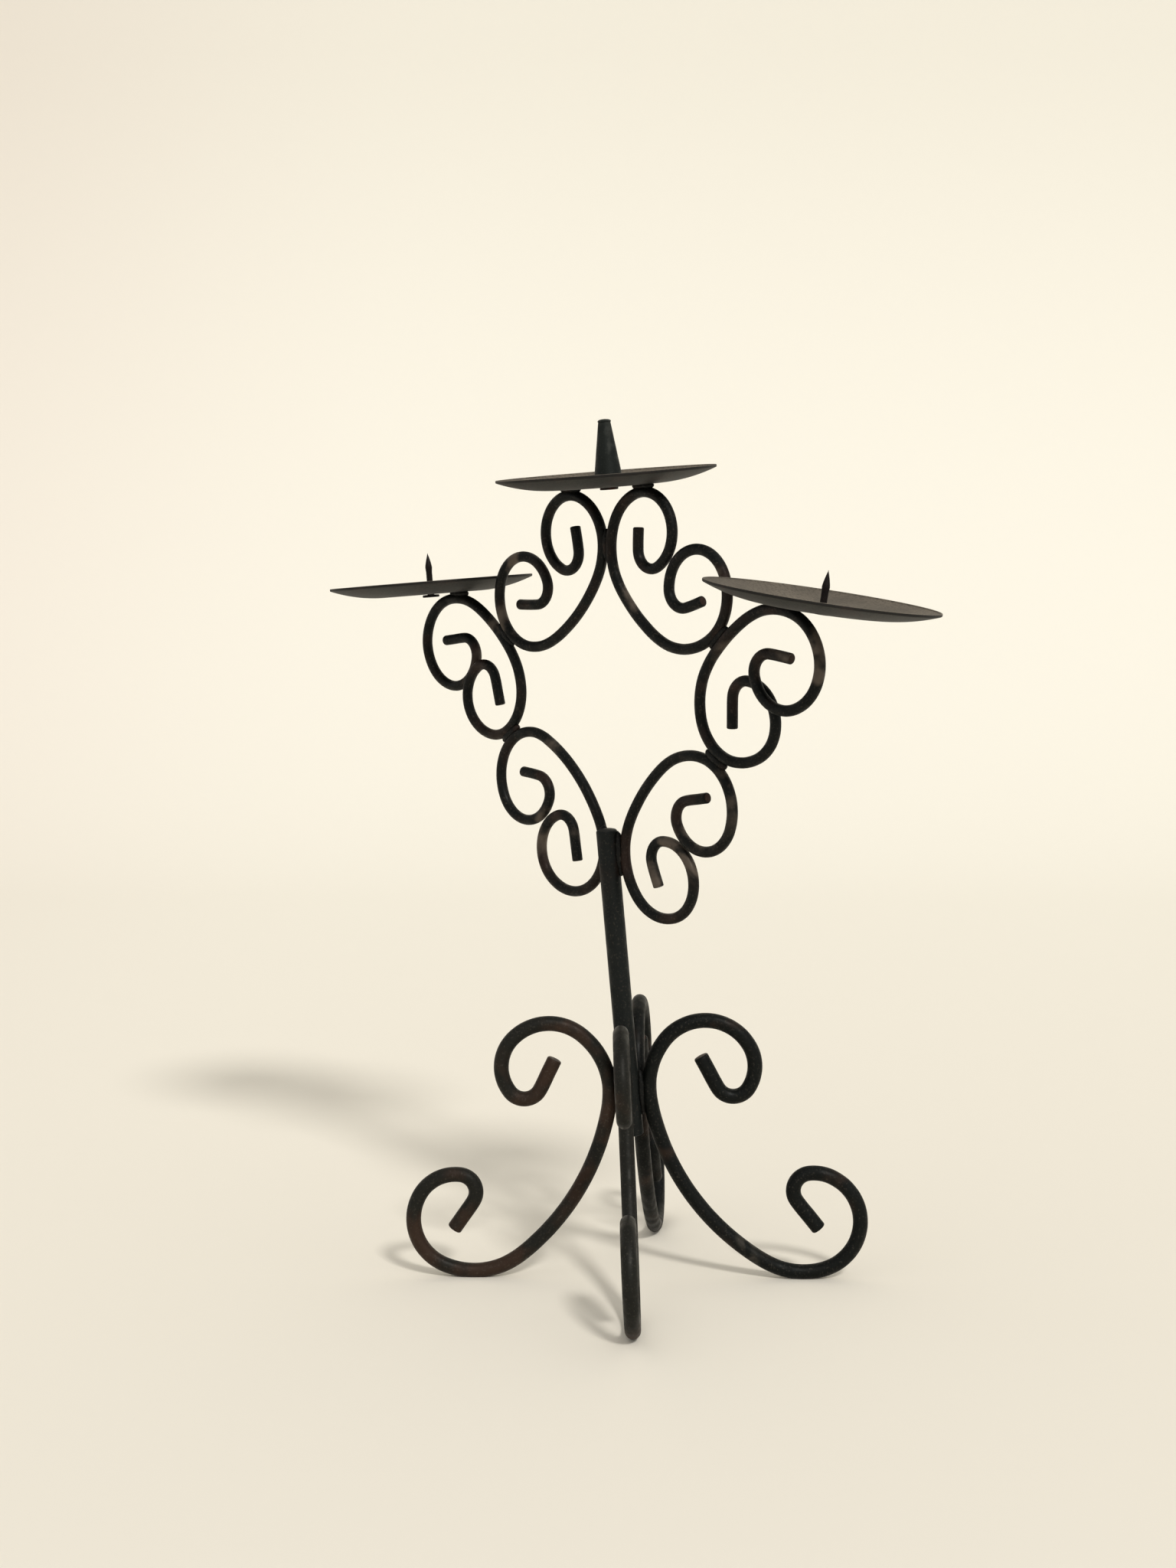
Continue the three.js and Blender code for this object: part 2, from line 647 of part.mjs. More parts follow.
function panMatrix(x, z, tipAside, tipFront) {
  const tip = new THREE.Euler(rad(tipFront), rad(tipAside), 0);
  return new THREE.Matrix4().makeRotationFromEuler(tip).setPosition(x, 0, z);
}

// The height at which a pan comes down on the highest of its bars, with the weld's root between them.
function seatHeight(x, tipAside, tipFront, bars) {
  const crown = Math.max(...bars.map((laid) => crownOf(laid).z));
  const room = (z) => {
    const matrix = panMatrix(x, z, tipAside, tipFront);
    return Math.min(...bars.map((laid) => roomUnder(matrix, laid).room));
  };
  return solve((z) => room(z) - WELD_ROOT, crown, crown + 2 * PAN_DEPTH + SCROLL_DIAMETER);
}

// The top of a laid bar, where it runs level.
function crownOf({ bar, angle, matrix }) {
  const mark = bar.markAtTurn(Math.PI / 2 + bar.hand * angle);
  return bar.at(mark).point.applyMatrix4(matrix);
}

function addPan(name, x, tipAside, pan, bars) {
  const matrix = panMatrix(x, seatHeight(x, tipAside, pan.tipFront, bars), tipAside, pan.tipFront);
  const group = new THREE.Group();
  group.applyMatrix4(matrix);
  star.add(group);
  const dish = addMesh(group, `pan_${name}`, panDish(pan.nailAside), PAN_IRON);
  const nail = addMesh(group, `nail_${name}`, turned(nailProfile(pan.nailHeight), NAIL_SIDES), NAIL_IRON);
  nail.position.x = pan.nailAside;
  bars.forEach((laid, i) => {
    const { point, outward } = seatOn(laid, roomUnder(matrix, laid).mark);
    const along = new THREE.Vector3(-outward.z, 0, outward.x);
    const suffix = bars.length > 1 ? `_${["left", "right"][i]}` : "";
    const place = point.addScaledVector(outward, (SCROLL_DIAMETER + WELD_ROOT) / 2);
    addBead(`weld_pan_${name}${suffix}`, star, place, along, outward, PAN_BEAD, [
      laid.seat,
      { mesh: dish, grown: panPlug() },
    ]);
  });
  return group;
}

// The top pan tips aside until it rests on both top scrolls, and the side pans overhang the mid scrolls.
const topBars = [left.top, right.top];
const topX = (crownOf(left.top).x + crownOf(right.top).x) / 2;
const spareRoomLeft = (tip) => {
  const { tipFront } = PANS.top;
  const matrix = panMatrix(topX, seatHeight(topX, tip, tipFront, topBars), tip, tipFront);
  return roomUnder(matrix, left.top).room - roomUnder(matrix, right.top).room;
};
const topTip = solve(spareRoomLeft, ...TOP_PAN_TIP_RANGE);
const topPan = addPan("top", topX, topTip, PANS.top, topBars);
const sleeve = addMesh(topPan, "centre_sleeve", turned(sleeveProfile(), NAIL_SIDES), IRON);
sleeve.position.x = PANS.top.nailAside;

const leftX = crownOf(left.mid).x - PANS.left.overhang;
const rightX = crownOf(right.mid).x + PANS.right.overhang;
addPan("left", leftX, PANS.left.tipAside, PANS.left, [left.mid]);
addPan("right", rightX, PANS.right.tipAside, PANS.right, [right.mid]);

// ---- The part's frame: the origin is under the middle of the whole stand, on the floor ----

const part = new THREE.Group();
part.add(stand);
const box = new THREE.Box3().setFromObject(stand, true);
const middle = box.getCenter(new THREE.Vector3());
stand.position.set(-middle.x, -middle.y, -box.min.z);

export default part;
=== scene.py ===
import json
from math import acos, cos, pi, radians, sin

import bmesh
import bpy
from mathutils import Matrix, Vector


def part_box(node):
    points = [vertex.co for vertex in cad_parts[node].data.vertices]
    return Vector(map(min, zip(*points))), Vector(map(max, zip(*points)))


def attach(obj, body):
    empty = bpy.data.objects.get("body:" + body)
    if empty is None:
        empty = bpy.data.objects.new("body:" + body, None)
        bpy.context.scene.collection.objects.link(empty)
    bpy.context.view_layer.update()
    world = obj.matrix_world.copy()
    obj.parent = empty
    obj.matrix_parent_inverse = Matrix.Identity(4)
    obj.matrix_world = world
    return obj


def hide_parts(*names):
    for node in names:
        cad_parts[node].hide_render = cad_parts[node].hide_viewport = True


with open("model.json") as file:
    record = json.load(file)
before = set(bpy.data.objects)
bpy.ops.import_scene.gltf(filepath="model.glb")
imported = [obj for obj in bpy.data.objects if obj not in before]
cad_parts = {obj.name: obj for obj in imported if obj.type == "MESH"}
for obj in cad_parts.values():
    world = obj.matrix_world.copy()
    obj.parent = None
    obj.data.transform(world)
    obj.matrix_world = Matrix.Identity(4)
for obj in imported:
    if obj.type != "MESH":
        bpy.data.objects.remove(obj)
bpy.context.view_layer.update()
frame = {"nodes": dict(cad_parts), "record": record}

# ---- Camera ----
# The stand is seen from a little over a metre in front of it, just above the side pans and
# looking slightly down, so that the left pan shows its edge and the right one its inside.

CAMERA_PLACE = Vector((0.0142, -1.1912, 0.381))
CAMERA_DOWN = radians(5.5)
CAMERA_LEFT = radians(1.2)
FOCAL_PIXELS = 3000
IMAGE_HEIGHT = 2048
FILM = 36
NEAREST_SEEN = 0.05
FARTHEST_SEEN = 50

camera_data = bpy.data.cameras.new("camera")
camera_data.sensor_width = FILM
camera_data.lens = FOCAL_PIXELS * FILM / IMAGE_HEIGHT
camera_data.clip_start = NEAREST_SEEN
camera_data.clip_end = FARTHEST_SEEN
camera = bpy.data.objects.new("camera", camera_data)
camera.location = CAMERA_PLACE
camera.rotation_euler = (pi / 2 - CAMERA_DOWN, 0, CAMERA_LEFT)
bpy.context.scene.collection.objects.link(camera)
bpy.context.scene.camera = camera

# ---- Floor ----
# The stand is on a sheet of cream paper that runs back along the table and then curves up
# behind it, so no edge shows. It is matt and takes the soft shadows of the pans. Towards the
# left the paper is darkened with painted shade.

FLOOR_HALF_WIDTH = 4.0
FLOOR_FRONT = -2.5
FLOOR_BACK = 2.6
FLOOR_SLACK = 0.01
SWEEP_HEIGHT = 5.0
SWEEP_RADIUS = 1.2
SWEEP_STEPS = 24
PAPER = (0.865, 0.825, 0.73, 1)
PAPER_FAR = (0.855, 0.83, 0.745, 1)
# Painted shade: the paper darkens towards the left side, away from the lamp.
PAPER_SIDE_PAINTED_SHADE = (0.79, 0.74, 0.66, 1)
PAPER_FADES = (("Y", (-0.2, 2.2), PAPER_FAR), ("X", (-0.25, -1.3), PAPER_SIDE_PAINTED_SHADE))


def choose(piece):
    """The piece alone is selected and active."""
    bpy.ops.object.select_all(action="DESELECT")
    piece.select_set(True)
    bpy.context.view_layer.objects.active = piece


def edit(piece):
    """The piece alone goes into edit mode, with all of its mesh selected."""
    choose(piece)
    bpy.ops.object.mode_set(mode="EDIT")
    bpy.ops.mesh.select_mode(type="VERT")
    bpy.ops.mesh.select_all(action="SELECT")


def pick(piece, edges=None, faces=None):
    """In edit mode, only the edges or faces that pass the test are selected, and counted."""
    mesh = bmesh.from_edit_mesh(piece.data)
    bpy.ops.mesh.select_mode(type="EDGE" if edges else "FACE")
    bpy.ops.mesh.select_all(action="DESELECT")
    test = edges or faces
    chosen = [element for element in (mesh.edges if edges else mesh.faces) if test(element)]
    for element in chosen:
        element.select_set(True)
    bmesh.update_edit_mesh(piece.data)
    return len(chosen)


def leave_edit():
    """Back to object mode, with nothing selected."""
    bpy.ops.object.mode_set(mode="OBJECT")
    bpy.ops.object.select_all(action="DESELECT")


def shader(name, roughness, specular, metallic=0.0):
    """A new material, with its node tree and its one shader."""
    material = bpy.data.materials.new(name)
    material.use_nodes = True
    surface = material.node_tree.nodes["Principled BSDF"]
    surface.inputs["Roughness"].default_value = roughness
    surface.inputs["Metallic"].default_value = metallic
    surface.inputs["Specular IOR Level"].default_value = specular
    return material, material.node_tree, surface


def own_place(tree):
    """The piece's own coordinates, from one node that all the patterns of a material share."""
    where = tree.nodes.get("Texture Coordinate") or tree.nodes.new("ShaderNodeTexCoord")
    return where.outputs["Object"]


def fade(tree, source, between, shift=0.0, to=(0.0, 1.0)):
    """A smooth step while the source is between two values, which a shift brings down."""
    step = tree.nodes.new("ShaderNodeMapRange")
    step.interpolation_type = "SMOOTHSTEP"
    step.inputs["From Min"].default_value = between[0] - shift
    step.inputs["From Max"].default_value = between[1] - shift
    step.inputs["To Min"].default_value = to[0]
    step.inputs["To Max"].default_value = to[1]
    tree.links.new(source, step.inputs["Value"])
    return step.outputs["Result"]


def blend(tree, share, under, over):
    """A colour laid over another colour, or over an earlier blend, by its share."""
    mix = tree.nodes.new("ShaderNodeMix")
    mix.data_type = "RGBA"
    tree.links.new(share, mix.inputs["Factor"])
    if isinstance(under, tuple):
        mix.inputs["A"].default_value = under
    else:
        tree.links.new(under, mix.inputs["A"])
    mix.inputs["B"].default_value = over
    return mix.outputs["Result"]


bpy.ops.object.select_all(action="DESELECT")
bpy.ops.mesh.primitive_plane_add(size=1, location=(0, 0, 0))
floor = bpy.context.object
floor.name = "floor"
edit(floor)
bpy.ops.transform.resize(value=(2 * FLOOR_HALF_WIDTH, FLOOR_BACK - FLOOR_FRONT, 1))
bpy.ops.transform.translate(value=(0, (FLOOR_BACK + FLOOR_FRONT) / 2, 0))
back = FLOOR_BACK - FLOOR_SLACK
pick(floor, edges=lambda edge: all(v.co.y > back for v in edge.verts))
bpy.ops.mesh.extrude_region_move(TRANSFORM_OT_translate={"value": (0, 0, SWEEP_HEIGHT)})
pick(floor, edges=lambda edge: all(v.co.y > back and v.co.z < FLOOR_SLACK for v in edge.verts))
bpy.ops.mesh.bevel(offset=SWEEP_RADIUS, segments=SWEEP_STEPS)
leave_edit()
choose(floor)
bpy.ops.object.shade_smooth()

paper, tree, surface = shader("cream paper", roughness=0.9, specular=0.2)
along = tree.nodes.new("ShaderNodeSeparateXYZ")
tree.links.new(own_place(tree), along.inputs["Vector"])
colour = PAPER
# The last fade paints shade over the paper towards the left side.
for axis, between, tone in PAPER_FADES:
    colour = blend(tree, fade(tree, along.outputs[axis], between), colour, tone)
tree.links.new(colour, surface.inputs["Base Color"])
floor.data.materials.append(paper)

# ---- Post ----
# A straight length of the thickest bar, sawn off and hammered at the head. It leans to the
# left and the front, with its foot between the legs and its head between the bottom scrolls.

POST_SIDES = 48
POST_FOOT_BEVEL_WIDTH = 0.00055
POST_FOOT_BEVEL_HEIGHT = 0.0004
POST_EDGE_ROUND = 0.0011
POST_EDGE_STEPS = 5
HEAD_DOME = 0.0006
HEAD_STATIONS = (0.6, 0.35, 0.1)
SMOOTH_UP_TO = radians(38)
RUST_CLOUDS = 38
RUST_FADE = (0.52, 0.74)
# Patches of rubbed wear that also stand in for painted highlight.
RUB_AND_HIGHLIGHT_CLOUDS = 24
RUB_AND_HIGHLIGHT_FADE = (0.70, 0.80)
SPECK_CLOUDS = 900
SPECK_FADE = (0.56, 0.74)
SPECK_STRENGTH = 0.30
HANDLED_CLOUDS = 160
HANDLED_FADE = (0.3, 0.7)
HAMMERED_CLOUDS = 110
HAMMERED_DEPTH = 0.0006
PITTED_CLOUDS = 700
PITTED_DEPTH = 0.0002
BAR_BLACK = (0.0024, 0.0034, 0.0028, 1)
BAR_BROWN = (0.019, 0.0105, 0.0075, 1)
# Grey-brown of rubbed iron, also used as a painted highlight on the bars.
BAR_WEAR_AND_PAINTED_HIGHLIGHT = (0.090, 0.072, 0.056, 1)
POST_BLACK = (0.0066, 0.0086, 0.0082, 1)


def noise(tree, size, detail, distortion=0.0):
    """Clouds laid on the piece's own coordinates, finer with a larger size."""
    clouds = tree.nodes.new("ShaderNodeTexNoise")
    clouds.inputs["Scale"].default_value = size
    clouds.inputs["Detail"].default_value = detail
    clouds.inputs["Distortion"].default_value = distortion
    tree.links.new(own_place(tree), clouds.inputs["Vector"])
    return clouds.outputs["Fac"]


def grain(tree, surface, strength, layers):
    """Hammered and pitted unevenness in layers of (size, detail, height), one over the other."""
    normal = None
    for size, detail, height in layers:
        bump = tree.nodes.new("ShaderNodeBump")
        bump.inputs["Strength"].default_value = strength
        bump.inputs["Distance"].default_value = height
        tree.links.new(noise(tree, size, detail), bump.inputs["Height"])
        if normal:
            tree.links.new(normal, bump.inputs["Normal"])
        normal = bump.outputs["Normal"]
    tree.links.new(normal, surface.inputs["Normal"])


def iron(name, tones, wear_and_highlight_share, rust_share=0.0, scale=1.0, dullness=(0.42, 0.66), bump=0.25):
    """Blackened iron: brown where it has rusted through, and grey-brown in patches that are partly rubbed
    wear and partly painted highlight.
    """
    black, brown, wear_and_highlight = tones
    material, tree, surface = shader(name, roughness=0.5, specular=0.2, metallic=0.3)
    rust = noise(tree, RUST_CLOUDS * scale, detail=3)
    rub_and_highlight = noise(tree, RUB_AND_HIGHLIGHT_CLOUDS * scale, detail=4, distortion=0.6)
    specks = noise(tree, SPECK_CLOUDS * scale, detail=2)
    handled = noise(tree, HANDLED_CLOUDS * scale, detail=4)
    colour = blend(tree, fade(tree, rust, RUST_FADE, rust_share), black, brown)
    # Rubbed wear and painted highlight are laid on together in lighter patches.
    colour = blend(tree, fade(tree, rub_and_highlight, RUB_AND_HIGHLIGHT_FADE, wear_and_highlight_share), colour, wear_and_highlight)
    colour = blend(tree, fade(tree, specks, SPECK_FADE, to=(0.0, SPECK_STRENGTH)), colour, wear_and_highlight)
    tree.links.new(colour, surface.inputs["Base Color"])
    tree.links.new(fade(tree, handled, HANDLED_FADE, to=dullness), surface.inputs["Roughness"])
    hammered = (HAMMERED_CLOUDS * scale, 3, HAMMERED_DEPTH)
    pitted = (PITTED_CLOUDS * scale, 5, PITTED_DEPTH)
    grain(tree, surface, bump, [hammered, pitted])
    return material


def smooth(piece, angle=SMOOTH_UP_TO):
    """The piece is shaded smooth, apart from edges sharper than the angle."""
    choose(piece)
    bpy.ops.object.shade_smooth_by_angle(angle=angle)
    bpy.ops.object.select_all(action="DESELECT")


def settle(piece, place, facing):
    """A piece made upright at the origin is turned and put in place, all in its mesh."""
    turn = Vector((0, 0, 1)).rotation_difference(facing).to_matrix().to_4x4()
    piece.matrix_world = Matrix.Translation(place) @ turn
    choose(piece)
    bpy.ops.object.transform_apply(location=True, rotation=True, scale=True)
    bpy.ops.object.select_all(action="DESELECT")


def disc(name, radius, sides):
    """A flat disc at the origin, in edit mode with its face selected, ready to be drawn up."""
    bpy.ops.object.select_all(action="DESELECT")
    bpy.ops.mesh.primitive_circle_add(vertices=sides, radius=radius, fill_type="NGON")
    piece = bpy.context.object
    piece.name = name
    edit(piece)
    pick(piece, faces=lambda face: True)
    return piece


def draw_up(rise, ratio):
    """The selected end of a turned piece is drawn up by rise and drawn in or out by ratio."""
    bpy.ops.mesh.extrude_region_move(TRANSFORM_OT_translate={"value": (0, 0, rise)})
    bpy.ops.transform.resize(value=(ratio, ratio, 1), center_override=(0, 0, 0))


def turn_up(name, stations, sides):
    """A turned piece through (radius, height) stations, from the closed foot to the closed top."""
    radius, height = stations[0]
    piece = disc(name, radius, sides)
    bpy.ops.transform.translate(value=(0, 0, height))
    for next_radius, next_height in stations[1:]:
        draw_up(next_height - height, next_radius / radius)
        radius, height = next_radius, next_height
    bpy.ops.mesh.select_all(action="SELECT")
    bpy.ops.mesh.normals_make_consistent(inside=False)
    leave_edit()
    return piece


def points_of(node):
    """The different corners of a node's mesh, each once."""
    corners = {tuple(round(c, 6) for c in v.co) for v in frame["nodes"][node].data.vertices}
    return [Vector(corner) for corner in corners]


def middle_of(points):
    """The mean of the points."""
    return sum(points, Vector()) / len(points)


post_points = points_of("post")
waist = middle_of(post_points).z
post_foot = middle_of([point for point in post_points if point.z < waist])
post_head = middle_of([point for point in post_points if point.z > waist])
post_axis = (post_head - post_foot).normalized()
post_radius = max((point - post_foot).cross(post_axis).length for point in post_points)
post_length = max((point - post_foot).dot(post_axis) for point in post_points) - HEAD_DOME
stations = [(post_radius - POST_FOOT_BEVEL_WIDTH, 0), (post_radius, POST_FOOT_BEVEL_HEIGHT)]
for step in range(POST_EDGE_STEPS + 1):
    turn = pi / 2 * step / POST_EDGE_STEPS
    inwards = POST_EDGE_ROUND * (1 - cos(turn))
    below = POST_EDGE_ROUND * (1 - sin(turn))
    stations.append((post_radius - inwards, post_length - below))
for share in HEAD_STATIONS:
    stations.append((post_radius * share, post_length + HEAD_DOME * (1 - share**2)))
post = turn_up("post_bar", stations, POST_SIDES)
settle(post, post_foot, post_axis)
smooth(post)
post.data.materials.append(iron("post iron", (POST_BLACK, BAR_BROWN, BAR_WEAR_AND_PAINTED_HIGHLIGHT), wear_and_highlight_share=0.03))
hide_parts("post")
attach(post, "root")

# ---- Legs ----
# Four lengths of round bar, each bent to a C-scroll with a short straight hook at both ends
# and ground level underneath. The left leg is rusted brown, and the right and back ones are
# the blackest.

LEG_GREY = (0.0105, 0.0105, 0.0082, 1)
LEG_BROWN = (0.034, 0.0195, 0.0125, 1)
# Grey-brown of worn iron, also standing in for painted highlight on the legs.
LEG_WEAR_AND_PAINTED_HIGHLIGHT = (0.080, 0.070, 0.057, 1)
LEG_FINISHES = {
    "left": (LEG_GREY, 0.11),
    "right": (BAR_BLACK, -0.06),
    "front": (LEG_GREY, -0.02),
    "back": (BAR_BLACK, 0.0),
}
SAWN_END = (0.030, 0.015, 0.0105, 1)
LEG_END_ROUND = 0.0009
SAWN_EDGE_STEPS = 3
TOUCHING = 0.00001
GROUND_SLACK = 0.000001
FLAT_FACETS = radians(20)
SQUARE_FACETS = radians(60)
FACETED_RIM = radians(70)
FILLED_RIM = radians(60)
BAR_REFINEMENTS = 2
MOST_SIDES_ALONG_BAR = 8


def bare_copy(node, name):
    """A copy of a node's mesh as a piece of its own, with its loose triangles joined up."""
    mesh = frame["nodes"][node].data.copy()
    mesh.materials.clear()
    piece = bpy.data.objects.new(name, mesh)
    bpy.context.scene.collection.objects.link(piece)
    edit(piece)
    bpy.ops.mesh.remove_doubles(threshold=TOUCHING)
    leave_edit()
    if mesh.has_custom_normals:
        choose(piece)
        bpy.ops.mesh.customdata_custom_splitnormals_clear()
        bpy.ops.object.select_all(action="DESELECT")
    return piece


def fold(edge):
    """How sharply the surface turns at an edge."""
    return edge.calc_face_angle(0)


def round_bar(node, name, end_round):
    """A smooth bar with sawn ends, drawn over the flats of a node's faceted bar."""
    piece = bare_copy(node, name)
    edit(piece)
    bpy.ops.mesh.tris_convert_to_quads(face_threshold=FLAT_FACETS, shape_threshold=SQUARE_FACETS)
    mesh = bmesh.from_edit_mesh(piece.data)
    rims = {v for edge in mesh.edges if fold(edge) > FACETED_RIM for v in edge.verts}
    pick(piece, faces=lambda face: all(v in rims for v in face.verts))
    bpy.ops.mesh.delete(type="ONLY_FACE")
    for _ in range(BAR_REFINEMENTS):
        bpy.ops.mesh.select_all(action="SELECT")
        bpy.ops.mesh.subdivide(number_cuts=1, smoothness=1)
    pick(piece, edges=lambda edge: edge.is_boundary)
    bpy.ops.mesh.fill_holes(sides=0)
    bpy.ops.mesh.select_all(action="SELECT")
    bpy.ops.mesh.normals_make_consistent(inside=False)
    pick(piece, edges=lambda edge: fold(edge) > FILLED_RIM)
    bpy.ops.mesh.bevel(offset=end_round, segments=SAWN_EDGE_STEPS)
    leave_edit()
    return piece


def sawn_ends(piece, material):
    """The flat ends of a bar take a second material, where the saw has left it bare."""
    piece.data.materials.append(material)
    for face in piece.data.polygons:
        if len(face.vertices) > MOST_SIDES_ALONG_BAR:
            face.material_index = len(piece.data.materials) - 1


def stand_flat(piece):
    """What is below the floor is ground off."""
    edit(piece)
    bpy.ops.mesh.bisect(
        plane_co=(0, 0, 0), plane_no=(0, 0, 1), use_fill=True, clear_inner=True, threshold=GROUND_SLACK
    )
    leave_edit()


end_iron = iron("sawn end", (SAWN_END, BAR_BROWN, BAR_WEAR_AND_PAINTED_HIGHLIGHT), wear_and_highlight_share=0.0)
for side, (black, rust) in LEG_FINISHES.items():
    leg = round_bar(f"leg_{side}", f"leg_bar_{side}", LEG_END_ROUND)
    stand_flat(leg)
    leg_iron = iron(f"{side} leg iron", (black, LEG_BROWN, LEG_WEAR_AND_PAINTED_HIGHLIGHT), wear_and_highlight_share=0.01, rust_share=rust)
    leg.data.materials.append(leg_iron)
    sawn_ends(leg, end_iron)
    smooth(leg)
    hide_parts(f"leg_{side}")
    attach(leg, "root")

# ---- Scrolls ----
# Six lengths of thinner bar, bent like the legs and welded to each other in one upright
# star. They are black, with a few grey-brown patches that are partly rubbed wear and partly
# painted highlight.

SCROLL_END_ROUND = 0.0007

scroll_iron = iron("scroll iron", (BAR_BLACK, BAR_BROWN, BAR_WEAR_AND_PAINTED_HIGHLIGHT), wear_and_highlight_share=0.14, rust_share=0.04)
for level in ("bottom", "mid", "top"):
    for side in ("left", "right"):
        scroll = round_bar(f"scroll_{level}_{side}", f"scroll_bar_{level}_{side}", SCROLL_END_ROUND)
        scroll.data.materials.append(scroll_iron)
        sawn_ends(scroll, end_iron)
        smooth(scroll)
        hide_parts(f"scroll_{level}_{side}")
        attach(scroll, "root")

# ---- Welds ----
# Short lumpy beads of weld in the seams between the bars, and under the pans. They were
# blackened with the rest, and each is drawn out over the two pieces that it joins.

WELD_BLACK = (0.0050, 0.0056, 0.0050, 1)
WELD_GRAIN = 0.00035
WELD_SOFTENING = 0.5
WELD_SOFTENINGS = 4
WELD_SPREAD = 0.0004
WELD_LUMP = 0.0007
WELD_LUMP_SPACING = 0.0032
SMOOTH_ALL_OVER = pi

weld_iron = iron(
    "weld iron", (WELD_BLACK, BAR_BROWN, BAR_WEAR_AND_PAINTED_HIGHLIGHT), wear_and_highlight_share=0.05, scale=1.6, dullness=(0.45, 0.7), bump=0.5
)
lumps = bpy.data.textures.new("weld lumps", "CLOUDS")
lumps.noise_scale = WELD_LUMP_SPACING
for node in sorted(name for name in frame["nodes"] if name.startswith("weld_")):
    weld = bare_copy(node, node.replace("weld_", "bead_"))
    spread = weld.modifiers.new("spread", "REMESH")
    spread.mode = "VOXEL"
    spread.voxel_size = WELD_GRAIN
    soften = weld.modifiers.new("soften", "SMOOTH")
    soften.factor = WELD_SOFTENING
    soften.iterations = WELD_SOFTENINGS
    swell = weld.modifiers.new("swell", "DISPLACE")
    swell.texture = lumps
    swell.texture_coords = "LOCAL"
    swell.strength = WELD_LUMP
    swell.mid_level = 0.5 - WELD_SPREAD / WELD_LUMP
    choose(weld)
    for modifier in ("spread", "soften", "swell"):
        bpy.ops.object.modifier_apply(modifier=modifier)
    smooth(weld, SMOOTH_ALL_OVER)
    weld.data.materials.append(weld_iron)
    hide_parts(node)
    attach(weld, "root")

# ---- Drip pans ----
# Three saucers pressed from one sheet: a flat floor, a sloping wall that bulges a little and
# a short upright rim. They are greyer than the bars, matt inside, and darker underneath, and
# the outside of the upright rim carries a painted shade.

PAN_DIAMETER = 0.114
PAN_DEPTH = 0.0072
PAN_SHEET = 0.001
PAN_FLOOR_DIAMETER = 0.056
PAN_FLOOR_EDGE = 0.006
PAN_RIM_HEIGHT = 0.0013
PAN_WALL_BELLY = 0.0014
PAN_WALL_STEPS = 14
PAN_SIDES = 96
RIM_ROUND = 0.00042
RIM_BAND = 0.0006
RIM_SLACK = 0.0001
RIM_TOP_FACING = 0.6
RIM_FOLD = radians(60)
RIM_STEPS = 3
PAN_SMOOTH_UP_TO = radians(50)
FACES_UP = 0.3
PAN_CLOUDS = (30, 3, (0.35, 0.75))
PAN_PATCHES = (55, 4, (0.62, 0.80))
PAN_SPECKLE = (850, 3, (0.46, 0.62))
PAN_LAYER_STRENGTH = 0.8
PAN_PITS = (600, 4, 0.0002)
PAN_BUMP = 0.2
PAN_GREY = (0.165, 0.140, 0.108, 1)
PAN_DARK = (0.078, 0.068, 0.054, 1)
PAN_BROWN = (0.095, 0.064, 0.050, 1)
UNDER_GREY = (0.0255, 0.0250, 0.0215, 1)
UNDER_DARK = (0.0106, 0.0108, 0.0096, 1)
UNDER_BROWN = (0.030, 0.0215, 0.018, 1)
# Painted shade: a dark band on the outside of each pan's upright rim.
RIM_PAINTED_SHADE = (0.014, 0.0125, 0.0105, 1)


def wall_stations():
    """The outside of the wall as (radius, height), from over the floor's edge to the rim's top."""
    floor_edge = Vector((PAN_FLOOR_DIAMETER / 2, -PAN_DEPTH))
    rim_foot = Vector((PAN_DIAMETER / 2, -PAN_RIM_HEIGHT))
    rim_top = Vector((PAN_DIAMETER / 2, 0))
    belly = (floor_edge + rim_foot) / 2 - Vector((0, 2 * PAN_WALL_BELLY))
    shares = [step / PAN_WALL_STEPS for step in range(1, PAN_WALL_STEPS + 1)]
    wall = [(1 - t) ** 2 * floor_edge + 2 * t * (1 - t) * belly + t**2 * rim_foot for t in shares]
    return wall + [rim_top]


def pan_seat(side):
    """The middle of a pan at the plane of its rim, and the way the pan faces."""
    mounts = {mount["name"]: mount for mount in frame["record"]["mounts"]}
    facing = Vector(mounts[f"candle_seat_{side}"]["axis"]).normalized()
    low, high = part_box(f"pan_{side}")
    middle = (low + high) / 2
    middle.z = high.z - PAN_DIAMETER / 2 * sin(acos(facing.z))
    return middle, facing


def pan_metal(name, grey, dark, brown, brown_share):
    """Sheet iron: an even matt grey with soft darker clouds, brown patches and fine speckle."""
    material, tree, surface = shader(name, roughness=0.62, specular=0.25, metallic=0.25)
    layers = ((PAN_CLOUDS, 0.0, dark), (PAN_PATCHES, brown_share, brown), (PAN_SPECKLE, 0.0, dark))
    colour = grey
    for (size, detail, between), shift, tone in layers:
        share = fade(tree, noise(tree, size, detail), between, shift, to=(0.0, PAN_LAYER_STRENGTH))
        colour = blend(tree, share, colour, tone)
    tree.links.new(colour, surface.inputs["Base Color"])
    grain(tree, surface, PAN_BUMP, [PAN_PITS])
    return material


def is_rim(face):
    """A face on the outside of a pan's upright rim, up to the outer half of its rounded lip, where shade is
    painted.
    """
    outermost = face.center.xy.length > PAN_DIAMETER / 2 - RIM_BAND
    high_up = face.center.z > -PAN_RIM_HEIGHT - RIM_SLACK
    return outermost and high_up and face.normal.z < RIM_TOP_FACING


